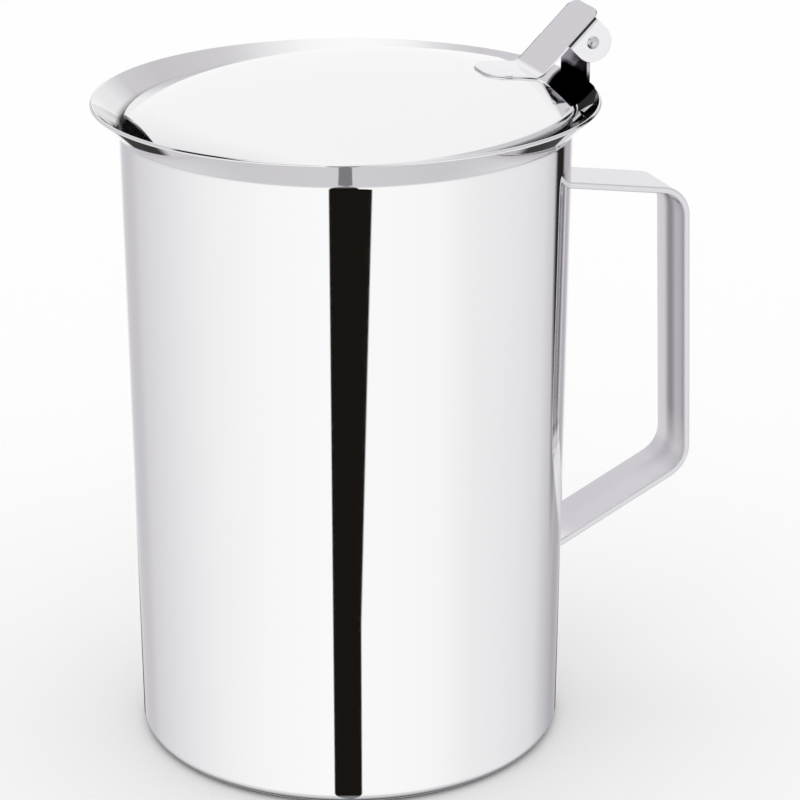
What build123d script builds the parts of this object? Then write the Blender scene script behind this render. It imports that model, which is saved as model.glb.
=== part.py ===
from build123d import *
import math
import os

# Stainless steel jug with a flared rim, a strap handle and a shallow domed lid on a pinned hinge.
# Millimetres. +Z up, +X towards the handle and the hinge, origin at the centre of the flat base.

# Jug body, outer faces
body_sheet = 1.0
base_radius = 59.0
base_corner_radius = 3.5
neck_radius = 60.2
neck_height = 172.0
neck_bend_radius = 1.6
flare_reach = 7.5
flare_rise = 7.2
lip_edge_radius = 0.3

# Handle strap, given by its outer face
strap_width = 18.6
strap_thickness = 1.8
strap_edge_radius = 0.4
top_bar_below_neck = 19.1
top_bar_fall = 0.145
grip_reach = 37.6
grip_reach_height = 120.0
grip_lean = 0.039
lower_bar_start = 44.9
lower_bar_slope = 0.509
top_bend_radius = 9.0
lower_bend_radius = 10.0
handle_weld_leg = 0.9
handle_weld_toe = 0.05

# Lid
lid_sheet = 0.8
lid_overhang = 0.1
lid_edge_above_neck = 3.4
lid_skirt = 0.9
lid_edge_bend_radius = 1.6
lid_shoulder_radius = 68.0
lid_shoulder_width = 19.3
lid_crown_radius = 620.0
lid_tilt = 2.4
lid_shift = 1.2
pour_cut_depth = 4.2
hinge_cut_depth = 8.3
hinge_cut_width = 46.0
hinge_cut_rim_width = 26.0
hinge_cut_corner_radius = 1.0

# Thumb lever
lever_sheet = 0.6
lever_half_width = 9.3
leaf_length = 14.1
leaf_corner_radius = 7.0
leaf_lap = 3.0
bend_inside_cut = 0.3
lever_bend_radius = 3.0
tab_angle = 45.0
tab_past_pin = 2.1
tab_corner_radius = 4.0
ear_radius = 5.3
ear_step_out = 0.9
ear_bend_radius = 1.3

# Hinge pin and bracket
pin_radius = 1.2
pin_head_radius = 1.75
pin_head_height = 0.8
pin_inside_rim = 1.5
pin_below_tab = 4.4
pin_running_clearance = 0.05
bracket_sheet = 1.0
bracket_side_gap = 0.4
bracket_weld_leg = 1.0

# Spot welds between leaf and lid
spot_radius = 2.0
spot_half_height = 0.3
spot_inset = 3.9
spot_spacing = 5.5
spot_count = 2

# Places that follow from the sizes above
rim_radius = neck_radius + flare_reach
rim_height = neck_height + flare_rise
flare_slope = flare_rise / flare_reach
flare_angle = math.atan(flare_slope)
lid_radius = neck_radius + lid_overhang
lid_edge_height = neck_height + lid_edge_above_neck
pour_cut_at = lid_radius - pour_cut_depth
hinge_cut_at = lid_radius - hinge_cut_depth
lever_bend_at = hinge_cut_at - bend_inside_cut
leaf_start = lever_bend_at - leaf_length
pin_at = rim_radius - pin_inside_rim
tab_end_at = pin_at + tab_past_pin
ear_outer_offset = lever_half_width + ear_step_out
bracket_half_width = ear_outer_offset - lever_sheet - bracket_side_gap
barrel_radius = pin_radius + pin_running_clearance + bracket_sheet
plate_inner = pin_at - pin_radius - pin_running_clearance
plate_outer = plate_inner + bracket_sheet
beyond = 3 * rim_radius


def wall_radius(height):
    """Radius of the jug's outer wall at a height."""
    return base_radius + (neck_radius - base_radius) * height / neck_height


def inner_flare_height(radius):
    """Height of the flare's inner face at a radius."""
    outer_height = neck_height + (radius - neck_radius) * flare_slope
    return outer_height + body_sheet / math.cos(flare_angle)


def profile_face(points):
    """A closed face in the X-Z plane through corner points."""
    corners = [Vector(x, 0, z) for x, z in points]
    return make_face(Wire.make_polygon(corners, close=True))


def nearest_vertex(face, x, z):
    """The corner of a face in the X-Z plane that is closest to a place."""
    return face.vertices().sort_by_distance(Vector(x, 0, z))[0]


def spun(face):
    """A full turn of a face about the jug's axis."""
    return revolve(face, Axis.Z, 360)


def bar_across(face, half_width):
    """A face in the X-Z plane made into a bar that reaches half_width to each side."""
    return extrude(face, amount=half_width, dir=(0, 1, 0), both=True)


# Jug body
def make_jug_body():
    """Base, wall and flare, drawn from one sheet."""
    inner_neck = neck_radius - body_sheet
    lip_x = rim_radius - body_sheet * math.sin(flare_angle)
    lip_z = rim_height + body_sheet * math.cos(flare_angle)
    face = profile_face([
        (0, 0),
        (base_radius, 0),
        (neck_radius, neck_height),
        (rim_radius, rim_height),
        (lip_x, lip_z),
        (inner_neck, inner_flare_height(inner_neck)),
        (base_radius - body_sheet, body_sheet),
        (0, body_sheet),
    ])
    rounds = [
        (base_radius, 0, base_corner_radius),
        (base_radius - body_sheet, body_sheet, base_corner_radius - body_sheet),
        (neck_radius, neck_height, neck_bend_radius),
        (inner_neck, inner_flare_height(inner_neck), neck_bend_radius + body_sheet),
        (rim_radius, rim_height, lip_edge_radius),
        (lip_x, lip_z, lip_edge_radius),
    ]
    for x, z, radius in rounds:
        face = fillet(nearest_vertex(face, x, z), radius)
    return spun(face)


def wall_fill():
    """The filled shape inside the jug's outer wall, used to cut things off at the wall."""
    return spun(profile_face([
        (0, 0),
        (base_radius, 0),
        (neck_radius, neck_height),
        (0, neck_height),
    ]))


# Handle
def top_bar_height(x, depth):
    """Height of the top bar at x, depth below its outer face."""
    outer = neck_height - top_bar_below_neck - (x - neck_radius) * top_bar_fall
    return outer - depth * math.hypot(1, top_bar_fall)


def lower_bar_height(x, depth):
    """Height of the lower bar at x, depth above its outer face."""
    outer = lower_bar_start + (x - neck_radius) * lower_bar_slope
    return outer + depth * math.hypot(1, lower_bar_slope)


def grip_place(z, depth):
    """Place of the grip along X at a height, depth inside its outer face."""
    outer = neck_radius + grip_reach + (grip_reach_height - z) * grip_lean
    return outer - depth * math.hypot(1, grip_lean)


def bar_root(height_at):
    """Where a bar's outer face meets the jug's wall."""
    return wall_radius(height_at(neck_radius, 0))


def strap_corners(depth):
    """Corners of the strap's side view, depth inside its outer face, from the top bar down."""
    upper_start = bar_root(top_bar_height) - 2 * body_sheet
    lower_start = bar_root(lower_bar_height) - 2 * body_sheet
    upper_x = lower_x = neck_radius + grip_reach
    for _ in range(20):
        upper_x = grip_place(top_bar_height(upper_x, depth), depth)
        lower_x = grip_place(lower_bar_height(lower_x, depth), depth)
    return [
        (upper_start, top_bar_height(upper_start, depth)),
        (upper_x, top_bar_height(upper_x, depth)),
        (lower_x, lower_bar_height(lower_x, depth)),
        (lower_start, lower_bar_height(lower_start, depth)),
    ]


def make_handle():
    """One strap with two bends, cut off at the wall at both ends."""
    outer = strap_corners(0)
    inner = strap_corners(strap_thickness)
    face = profile_face(outer + inner[::-1])
    for corner, radius in ((1, top_bend_radius), (2, lower_bend_radius)):
        face = fillet(nearest_vertex(face, *outer[corner]), radius)
        face = fillet(nearest_vertex(face, *inner[corner]), radius - strap_thickness)
    bar = bar_across(face, strap_width / 2)
    bar = fillet(bar.faces().filter_by(Axis.Y).edges(), strap_edge_radius)
    return bar - wall_fill()


def make_handle_weld(handle, height_at, slope):
    """A bead of weld round one end of the strap, from inside the wall out along the bar."""
    upright_thickness = strap_thickness * math.hypot(1, slope)
    sections = []
    root = (-body_sheet, handle_weld_leg + body_sheet)
    toe = (handle_weld_leg, handle_weld_toe)
    for reach, growth in (root, toe):
        x = bar_root(height_at) + reach
        section = Rectangle(strap_width + 2 * growth, upright_thickness + 2 * growth)
        place = Vector(x, 0, height_at(x, strap_thickness / 2))
        sections.append(Plane(origin=place, x_dir=(0, 1, 0), z_dir=(1, 0, 0)) * section)
    return loft(sections) - wall_fill() - handle


# Lid outline in the lid's own level frame: crown arc, shoulder arc and turned-down edge
edge_centre = (lid_radius - lid_edge_bend_radius, lid_edge_height + lid_skirt)
shoulder_start = lid_radius - lid_shoulder_width
crown_end_angle = math.asin(shoulder_start / lid_crown_radius)
shoulder_centre_x = shoulder_start - lid_shoulder_radius * math.sin(crown_end_angle)
shoulder_to_edge = lid_shoulder_radius - lid_edge_bend_radius
shoulder_end_angle = math.asin((edge_centre[0] - shoulder_centre_x) / shoulder_to_edge)
shoulder_centre = (
    shoulder_centre_x,
    edge_centre[1] - shoulder_to_edge * math.cos(shoulder_end_angle),
)
crown_centre = (
    0.0,
    shoulder_centre[1] - (lid_crown_radius - lid_shoulder_radius) * math.cos(crown_end_angle),
)


def on_circle(centre, radius, angle):
    """A place in the X-Z plane on a circle, its angle measured from straight up."""
    x = centre[0] + radius * math.sin(angle)
    z = centre[1] + radius * math.cos(angle)
    return Vector(x, 0, z)


def arc_between(centre, radius, start, end):
    """An arc in the X-Z plane between two angles measured from straight up."""
    middle = (start + end) / 2
    return ThreePointArc(*[on_circle(centre, radius, angle) for angle in (start, middle, end)])


def lid_top_edges(rise):
    """Crown and shoulder of the lid's outer face, moved outwards by rise."""
    crown = arc_between(crown_centre, lid_crown_radius + rise, 0, crown_end_angle)
    shoulder_radius = lid_shoulder_radius + rise
    shoulder = arc_between(shoulder_centre, shoulder_radius, crown_end_angle, shoulder_end_angle)
    return [crown, shoulder]


def lid_edge_bend(inset):
    """The bend from the shoulder down into the lid's edge, inset from its outer face."""
    radius = lid_edge_bend_radius - inset
    return arc_between(edge_centre, radius, shoulder_end_angle, math.pi / 2)


def closed_spin(edges):
    """A full turn of the face that a ring of edges encloses."""
    return spun(Face(Wire(edges)))


def lid_band(low, high):
    """The layer between two offsets of the lid's outer face, as far out as its edge bend."""
    upper = lid_top_edges(high)
    lower = lid_top_edges(low)
    outer_side = Line(upper[1] @ 1, lower[1] @ 1)
    axis_side = Line(lower[0] @ 0, upper[0] @ 0)
    return closed_spin(upper + lower + [outer_side, axis_side])


def under_lid():
    """Everything under the lid's outer face, down to below the neck."""
    upper = lid_top_edges(0)
    bend = lid_edge_bend(0)
    foot = Vector(lid_radius, 0, neck_height - flare_rise)
    middle = Vector(0, 0, neck_height - flare_rise)
    sides = [Line(bend @ 1, foot), Line(foot, middle), Line(middle, upper[0] @ 0)]
    return closed_spin(upper + [bend] + sides)


def on_jug(shape):
    """A shape from the lid's level frame, set on the jug and tilted up towards the hinge."""
    seat = Pos(lid_shift, 0, edge_centre[1]) * Rot(0, -lid_tilt, 0)
    return seat * Pos(0, 0, -edge_centre[1]) * shape


def lid_face_height(x, rise=0.0):
    """Height on the jug, above the X axis, of the lid's shoulder moved outwards by rise."""
    tilt = math.radians(lid_tilt)
    angle = 0.0
    for _ in range(30):
        place = on_circle(shoulder_centre, lid_shoulder_radius + rise, angle)
        level = place.Z - edge_centre[1]
        reach = lid_shift + place.X * math.cos(tilt) - level * math.sin(tilt)
        angle += (x - reach) / lid_shoulder_radius
    return edge_centre[1] + place.X * math.sin(tilt) + level * math.cos(tilt)


def hinge_notch():
    """The piece cut out of the lid's edge round the hinge, narrower at the rim than inside."""
    rim_at = lid_radius + lid_shift
    closing = (hinge_cut_width - hinge_cut_rim_width) / 2 / (rim_at - hinge_cut_at)
    outside = rim_at + 2 * lid_sheet
    outside_half = hinge_cut_rim_width / 2 - closing * (outside - rim_at)
    floor = neck_height - flare_rise
    corners = [
        Vector(hinge_cut_at, -hinge_cut_width / 2, floor),
        Vector(outside, -outside_half, floor),
        Vector(outside, outside_half, floor),
        Vector(hinge_cut_at, hinge_cut_width / 2, floor),
    ]
    outline = make_face(Wire.make_polygon(corners, close=True))
    for y in (-hinge_cut_width / 2, hinge_cut_width / 2):
        corner = outline.vertices().sort_by_distance(Vector(hinge_cut_at, y, floor))[0]
        outline = fillet(corner, hinge_cut_corner_radius)
    return extrude(outline, amount=4 * flare_rise, dir=(0, 0, 1))


def make_lid_dome():
    """Domed sheet with a turned-down edge, notched at the hinge and cut straight for pouring."""
    upper = lid_top_edges(0)
    lower = lid_top_edges(-lid_sheet)
    outer_bend = lid_edge_bend(0)
    inner_bend = lid_edge_bend(lid_sheet)
    outer_foot = Vector(lid_radius, 0, lid_edge_height)
    inner_foot = Vector(lid_radius - lid_sheet, 0, lid_edge_height)
    sides = [
        Line(outer_bend @ 1, outer_foot),
        Line(outer_foot, inner_foot),
        Line(inner_foot, inner_bend @ 1),
        Line(lower[0] @ 0, upper[0] @ 0),
    ]
    dome = on_jug(closed_spin(upper + lower + [outer_bend, inner_bend] + sides))
    block = Box(beyond, beyond, beyond, align=(Align.MIN, Align.CENTER, Align.CENTER))
    dome -= hinge_notch()
    dome -= Pos(-pour_cut_at - beyond, 0, neck_height) * block
    return dome


# Thumb lever: the leaf lies on the lid, and the tab rises from it over the pin
tab_rise = math.radians(tab_angle)
tab_along = Vector(math.cos(tab_rise), 0, math.sin(tab_rise))
tab_normal = Vector(-math.sin(tab_rise), 0, math.cos(tab_rise))
bend_top = Vector(lever_bend_at, 0, lid_face_height(lever_bend_at, lever_sheet))
tab_end = bend_top + tab_along * ((tab_end_at - lever_bend_at) / tab_along.X)
ear_foot_at = pin_at + pin_below_tab * tab_normal.X
ear_foot = bend_top + tab_along * ((ear_foot_at - lever_bend_at) / tab_along.X)
pin_centre = ear_foot - tab_normal * pin_below_tab


def on_hinge_axis(radius, half_length):
    """A cylinder on the hinge axis."""
    return Pos(pin_centre) * Rot(90, 0, 0) * Cylinder(radius, 2 * half_length)


def make_leaf():
    """The leaf, which follows the lid's outer face."""
    end = lever_bend_at - leaf_lap / 3
    plan = Pos((leaf_start + end) / 2, 0) * Rectangle(end - leaf_start, 2 * lever_half_width)
    plan = fillet(plan.vertices().sort_by(Axis.X)[0:2], leaf_corner_radius)
    column = extrude(plan, 2 * rim_height)
    return on_jug(lid_band(0, lever_sheet)) & column


def make_tab():
    """The sheet from the leaf's end, round the bend, to the tab's rounded end."""
    lead_at = lever_bend_at - leaf_lap
    lead_top = Vector(lead_at, 0, lid_face_height(lead_at, lever_sheet))
    lead_slope = math.atan2(bend_top.Z - lead_top.Z, leaf_lap)
    lead_normal = Vector(-math.sin(lead_slope), 0, math.cos(lead_slope))
    half_turn = (tab_rise - lead_slope) / 2
    halfway = Vector(-math.sin(lead_slope + half_turn), 0, math.cos(lead_slope + half_turn))
    bend_under = bend_top - halfway * (lever_sheet / math.cos(half_turn))
    tab_end_under = tab_end - tab_normal * lever_sheet
    lead_under = lead_top - lead_normal * lever_sheet
    corners = [lead_top, bend_top, tab_end, tab_end_under, bend_under, lead_under]
    face = profile_face([(corner.X, corner.Z) for corner in corners])
    face = fillet(nearest_vertex(face, bend_top.X, bend_top.Z), lever_bend_radius)
    under_radius = lever_bend_radius + lever_sheet
    face = fillet(nearest_vertex(face, bend_under.X, bend_under.Z), under_radius)
    sheet = bar_across(face, lever_half_width)
    end_face = sheet.faces().sort_by_distance(tab_end)[0:2].sort_by(Axis.X)[-1]
    upright = end_face.edges().filter_by(lambda edge: edge.length < lever_half_width)
    return fillet(upright, tab_corner_radius)


def make_ears():
    """The folded part of the tab: a channel whose two sides carry the pin."""
    tab_plane = Plane(origin=ear_foot, x_dir=tab_along, z_dir=tab_normal)
    side_plane = Plane(origin=ear_foot, x_dir=tab_along, z_dir=(0, -1, 0))
    ear_width = 2 * ear_radius
    top = extrude(tab_plane * Rectangle(ear_width, 2 * ear_outer_offset), -lever_sheet)
    round_end = Circle(ear_radius) & Pos(0, -ear_radius) * Rectangle(ear_width, ear_width)
    side = side_plane * Pos(0, -pin_below_tab / 2) * Rectangle(ear_width, pin_below_tab)
    side += side_plane * Pos(0, -pin_below_tab) * round_end
    near = Pos(0, -ear_outer_offset, 0) * extrude(side, lever_sheet, dir=(0, 1, 0))
    far = Pos(0, ear_outer_offset, 0) * extrude(side, lever_sheet, dir=(0, -1, 0))
    channel = top + near + far
    folds = []
    for side_of_tab in (-1, 1):
        fold_middle = ear_foot + Vector(0, side_of_tab * ear_outer_offset, 0)
        folds.append(channel.edges().sort_by_distance(fold_middle)[0])
    return fillet(folds, ear_bend_radius)


def make_spot(number):
    """The fused core of a spot weld, half in the leaf and half in the lid."""
    place = Pos(leaf_start + spot_inset + number * spot_spacing, 0, neck_height)
    column = place * Cylinder(spot_radius, 2 * neck_height)
    return on_jug(lid_band(-spot_half_height, spot_half_height)) & column


def make_lever(spots):
    """Leaf, tab and ears in one piece of sheet."""
    lever = make_leaf() + make_tab() + make_ears()
    lever -= on_jug(under_lid())
    lever -= on_hinge_axis(pin_radius, beyond)
    for spot in spots:
        lever -= spot
    return lever


def make_pin():
    """A plain pin with a domed, peened end outside each ear."""
    pin = on_hinge_axis(pin_radius, ear_outer_offset)
    dome_radius = (pin_head_radius ** 2 + pin_head_height ** 2) / (2 * pin_head_height)
    dome_middle = ear_outer_offset + pin_head_height - dome_radius
    for side in (-1, 1):
        ball = Pos(0, side * dome_middle, 0) * Sphere(dome_radius)
        outside = Pos(0, side * (ear_outer_offset + dome_radius), 0) * Box(*3 * [2 * dome_radius])
        pin += Pos(pin_centre) * (ball & outside)
    return pin


# Hinge bracket
def under_flare():
    """Everything outside the flare's inner face, used to cut things off where they stand on it."""
    inner_start = neck_radius - flare_reach
    floor = neck_height - beyond
    return spun(profile_face([
        (inner_start, inner_flare_height(inner_start)),
        (beyond, inner_flare_height(beyond)),
        (beyond, floor),
        (inner_start, floor),
    ]))


def make_bracket():
    """A plate that stands on the flare, with a barrel round the pin at its top."""
    plate = bar_across(profile_face([
        (plate_inner, neck_height),
        (plate_outer, neck_height),
        (plate_outer, pin_centre.Z),
        (plate_inner, pin_centre.Z),
    ]), bracket_half_width)
    bracket = plate + on_hinge_axis(barrel_radius, bracket_half_width)
    bracket -= on_hinge_axis(pin_radius + pin_running_clearance, beyond)
    return bracket - under_flare()


def make_bracket_weld():
    """A bead in the corner between the flare and the plate's inner face."""
    bead_start = plate_inner - bracket_weld_leg
    sections = []
    for y in (-bracket_half_width, 0, bracket_half_width):
        start_height = inner_flare_height(math.hypot(bead_start, y))
        top = inner_flare_height(math.hypot(plate_inner, y)) + bracket_weld_leg
        sunk = start_height - bracket_weld_leg
        section = profile_face([
            (bead_start, start_height),
            (plate_inner, top),
            (plate_inner, sunk),
            (bead_start, sunk),
        ])
        sections.append(Pos(0, y, 0) * section)
    return loft(sections) - under_flare()


def main():
    os.makedirs("parts", exist_ok=True)
    handle = make_handle()
    spots = [make_spot(number) for number in range(spot_count)]
    lid = make_lid_dome()
    for spot in spots:
        lid -= spot
    nodes = {
        "jug_body": make_jug_body(),
        "handle": handle,
        "handle_top_weld": make_handle_weld(handle, top_bar_height, top_bar_fall),
        "handle_lower_weld": make_handle_weld(handle, lower_bar_height, lower_bar_slope),
        "hinge_bracket": make_bracket(),
        "bracket_weld": make_bracket_weld(),
        "lid_dome": lid,
        "thumb_lever": make_lever(spots),
        "hinge_pin": make_pin(),
    }
    for number, spot in enumerate(spots, 1):
        nodes[f"lever_spot_weld_{number}"] = spot
    for name, shape in nodes.items():
        export_step(shape, f"parts/{name}.step")
    print("hinge axis through", pin_centre)


if __name__ == "__main__":
    main()
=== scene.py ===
import math

import bmesh
import bpy
from mathutils import Matrix, Vector


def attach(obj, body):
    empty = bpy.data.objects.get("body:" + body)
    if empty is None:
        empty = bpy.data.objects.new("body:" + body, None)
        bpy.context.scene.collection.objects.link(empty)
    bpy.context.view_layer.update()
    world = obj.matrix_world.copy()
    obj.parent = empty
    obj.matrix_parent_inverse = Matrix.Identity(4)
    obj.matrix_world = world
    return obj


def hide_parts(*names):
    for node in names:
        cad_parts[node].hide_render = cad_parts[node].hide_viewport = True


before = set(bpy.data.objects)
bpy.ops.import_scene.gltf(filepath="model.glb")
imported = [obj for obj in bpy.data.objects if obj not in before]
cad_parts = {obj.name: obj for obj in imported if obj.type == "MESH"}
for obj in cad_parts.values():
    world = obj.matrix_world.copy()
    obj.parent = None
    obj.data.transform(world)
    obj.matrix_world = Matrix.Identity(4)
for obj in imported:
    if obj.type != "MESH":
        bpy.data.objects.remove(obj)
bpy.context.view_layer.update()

# Stainless steel jug with a strap handle and a domed lid on a thumb lever.
# Sizes are in millimetres, and MM turns them to metres where a mesh or a pattern is made.
MM = 0.001

# Jug body: one drawn shell with a flared rim
base_radius, base_corner = 59.0, 3.5
neck_radius, neck_height, neck_bend = 60.2, 172.0, 1.6
rim_radius, rim_height, lip_edge = 67.7, 179.2, 0.3
body_sheet, wall_step = 1.0, 6.0
inside_end, floor_rise = 61.7, 8.0

# Lid
lid_sheet = 0.8
lid_radius, lid_edge_height, lid_skirt, lid_foot_round = 60.3, 175.4, 0.9, 0.15
lid_edge_bend, shoulder_radius, shoulder_start = 1.6, 68.0, 41.0
crown_radius, lid_tilt, lid_shift = 620.0, math.radians(2.4), 1.2
pour_cut, hinge_cut = 56.1, 52.0
hinge_cut_half, hinge_cut_rim_half, hinge_cut_corner = 23.0, 13.0, 1.0
notch_bottom, notch_top = 167.0, 197.0
hinge_crease, hinge_crease_slope, hinge_crease_radius, lid_soft_edge = 51.4, 0.3, 0.2, 0.18

# Thumb lever
lever_sheet, lever_half_width = 0.6, 9.3
leaf_start, leaf_corner, lever_bend_at, lever_bend_radius = 37.6, 7.0, 51.7, 3.0
tab_rise, tab_end_at, tab_corner = math.radians(45), 68.3, 4.0
ear_radius, ear_outer, ear_bend = 5.3, 10.2, 1.3
# The ears fold off at this share of the blank's half width.
fold_share = 0.957
leaf_gap, leaf_end_run, sheet_soft_edge = 0.02, 3.0, 0.12

# Hinge pin and bracket
pin_radius, pin_head_radius, pin_head_height = 1.2, 1.75, 0.8
pin_at, pin_below_tab, pin_clearance = 66.2, 4.4, 0.05
bracket_sheet, bracket_half_width = 1.0, 9.2
jog_start, jog_end, jog_start_bend, jog_end_bend = 3.0, 1.0, 1.6, 1.4
roll_turn, plate_in_flare = math.radians(300), 0.3
bracket_bead_leg, bead_end_share, bead_end_rise, bead_in_plate = 0.92, 0.35, 14.0, 0.2
plate_inner = pin_at - pin_radius - pin_clearance
plate_middle = plate_inner + bracket_sheet / 2

# Painted shade round the hinge: a dark patch round a line across the jug, given by its middle
# and half its length
hinge_shade_at, hinge_shade_half_length, hinge_shade_reach = (64.3, -1.2, 177.2), 6.8, 8.2

# Handle strap, given by its outer face
strap_width, strap_thickness, strap_edge, strap_step = 18.6, 1.8, 0.4, 4.0
grip_reach, grip_reach_height, grip_lean = 97.8, 120.0, 0.039
top_bar_at_wall, top_bar_fall = 152.9, 0.145
lower_bar_at_wall, lower_bar_slope = 44.9, 0.509
top_bend, lower_bend, strap_in_wall = 9.0, 10.0, 0.4
weld_leg, bead_step, bead_in_wall, bead_gap = 0.9, 0.35, 0.3, 0.02

# The middle of the opening for the hand, and the heights that the grip's painted
# reflection bands fade between
grip_middle, grip_middle_height = 78.0, 100.0
painted_bands_end, painted_bands_full = 60.0, 80.0

flare_slope = (rim_height - neck_height) / (rim_radius - neck_radius)
flare_angle = math.atan(flare_slope)


# Materials

def linear(hex_colour):
    """sRGB hex to the linear colour that the shaders take."""
    channels = [int(hex_colour[i:i + 2], 16) / 255 for i in (0, 2, 4)]
    return [c / 12.92 if c <= 0.04045 else ((c + 0.055) / 1.055) ** 2.4 for c in channels] + [1.0]


def add_node(tree, kind, links=(), **settings):
    """Adds a node, sets its values and inputs, and links other nodes' outputs to its inputs."""
    node = tree.nodes.new(kind)
    for name, value in settings.items():
        setattr(node, name, value)
    for socket, source in dict(links).items():
        if isinstance(source, bpy.types.NodeSocket):
            tree.links.new(source, node.inputs[socket])
        else:
            node.inputs[socket].default_value = source
    return node


def steel(name, colour, roughness, spread, grain, bump):
    """Stainless steel with a grain whose marks lie grain mm apart along x, y and z.

    The grain moves the roughness by spread to both sides and raises the marks by bump mm.
    Real polishing and drawing marks are finer than the render shows, so they are drawn coarser.
    """
    material = bpy.data.materials.new(name)
    material.use_nodes = True
    tree = material.node_tree
    shader = tree.nodes["Principled BSDF"]
    shader.inputs["Metallic"].default_value = 1.0
    shader.inputs["Base Color"].default_value = linear(colour)
    place = add_node(tree, "ShaderNodeTexCoord")
    stretch = add_node(tree, "ShaderNodeMapping", {
        "Vector": place.outputs["Object"],
        "Scale": [1 / (step * MM) for step in grain],
    })
    lines = add_node(tree, "ShaderNodeTexNoise", {
        "Vector": stretch.outputs["Vector"], "Scale": 1.0, "Detail": 3.0, "Roughness": 0.6,
    })
    # Nearly all of the pattern lies between 0.3 and 0.7.
    rough = add_node(tree, "ShaderNodeMapRange", {
        "Value": lines.outputs["Fac"], "From Min": 0.3, "From Max": 0.7,
        "To Min": roughness - spread, "To Max": roughness + spread,
    })
    tree.links.new(rough.outputs["Result"], shader.inputs["Roughness"])
    marks = add_node(tree, "ShaderNodeBump", {
        "Height": lines.outputs["Fac"], "Strength": 1.0, "Distance": bump * MM,
    })
    tree.links.new(marks.outputs["Normal"], shader.inputs["Normal"])
    return material


def colour_along(tree, share, stops):
    """A colour for a share from 0 to 1, blended between (share, linear colour) stops."""
    ramp = add_node(tree, "ShaderNodeValToRGB", {"Fac": share})
    elements = ramp.color_ramp.elements
    elements.remove(elements[1])
    elements[0].position, elements[0].color = stops[0]
    for position, colour in stops[1:]:
        elements.new(position).color = colour
    return ramp.outputs["Color"]


def painted_hinge_shade(material, beyond_shade):
    """Painted shade: a dark patch in the colour round the bracket's bead, where the hinge is
    dark.
    """
    tree = material.node_tree
    shader = tree.nodes["Principled BSDF"]
    place = add_node(tree, "ShaderNodeTexCoord")
    offset = add_node(tree, "ShaderNodeVectorMath", {
        0: place.outputs["Object"], 1: [c * MM for c in hinge_shade_at]}, operation="SUBTRACT")
    parts = add_node(tree, "ShaderNodeSeparateXYZ", {"Vector": offset.outputs[0]})
    side = add_node(tree, "ShaderNodeMath", {0: parts.outputs["Y"]}, operation="ABSOLUTE")
    beyond = add_node(tree, "ShaderNodeMath", {
        0: side.outputs[0], 1: hinge_shade_half_length * MM}, operation="SUBTRACT")
    beyond = add_node(tree, "ShaderNodeMath", {0: beyond.outputs[0], 1: 0.0}, operation="MAXIMUM")
    from_bead = add_node(tree, "ShaderNodeCombineXYZ", {
        "X": parts.outputs["X"], "Y": beyond.outputs[0], "Z": parts.outputs["Z"]})
    distance = add_node(tree, "ShaderNodeVectorMath", {0: from_bead.outputs[0]},
                        operation="LENGTH")
    share = add_node(tree, "ShaderNodeMapRange", {
        "Value": distance.outputs["Value"], "From Min": 0.0, "From Max": hinge_shade_reach * MM,
        "To Min": 0.0, "To Max": 1.0})
    # Painted shade: black by the bead, then a grey fringe, then the colour beyond it
    shade_colour = colour_along(tree, share.outputs["Result"], [
        (0.5, linear("0c0a0b")), (0.6, linear("3a3538")), (0.7, linear("8c868d")),
        (0.8, linear(beyond_shade))])
    tree.links.new(shade_colour, shader.inputs["Base Color"])
    tree.links.new(shade_colour, shader.inputs["Specular Tint"])


def painted_crevice_shade(material, reach, dark_at, clear_at):
    """Painted shade: darkens the colour in narrow gaps, where light is lost at every bounce.

    A place counts as open by the share of its surroundings that is free within reach mm: it is
    fully dark at a share of dark_at, and keeps its colour from clear_at on.
    """
    tree = material.node_tree
    shader = tree.nodes["Principled BSDF"]
    colour = shader.inputs["Base Color"]
    gap = add_node(tree, "ShaderNodeAmbientOcclusion", {"Distance": reach * MM}, samples=8)
    share = add_node(tree, "ShaderNodeMapRange", {
        "Value": gap.outputs["AO"], "From Min": dark_at, "From Max": clear_at,
        "To Min": 1.0, "To Max": 0.0}, interpolation_type="SMOOTHSTEP")
    source = colour.links[0].from_socket if colour.links else list(colour.default_value)
    # Painted shade: the colour is multiplied towards dark grey in the gaps
    mix = add_node(tree, "ShaderNodeMix", {
        "Factor": share.outputs["Result"], 6: source, 7: linear("2a272a")},
        data_type="RGBA", blend_type="MULTIPLY")
    tree.links.new(mix.outputs[2], colour)


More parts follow.
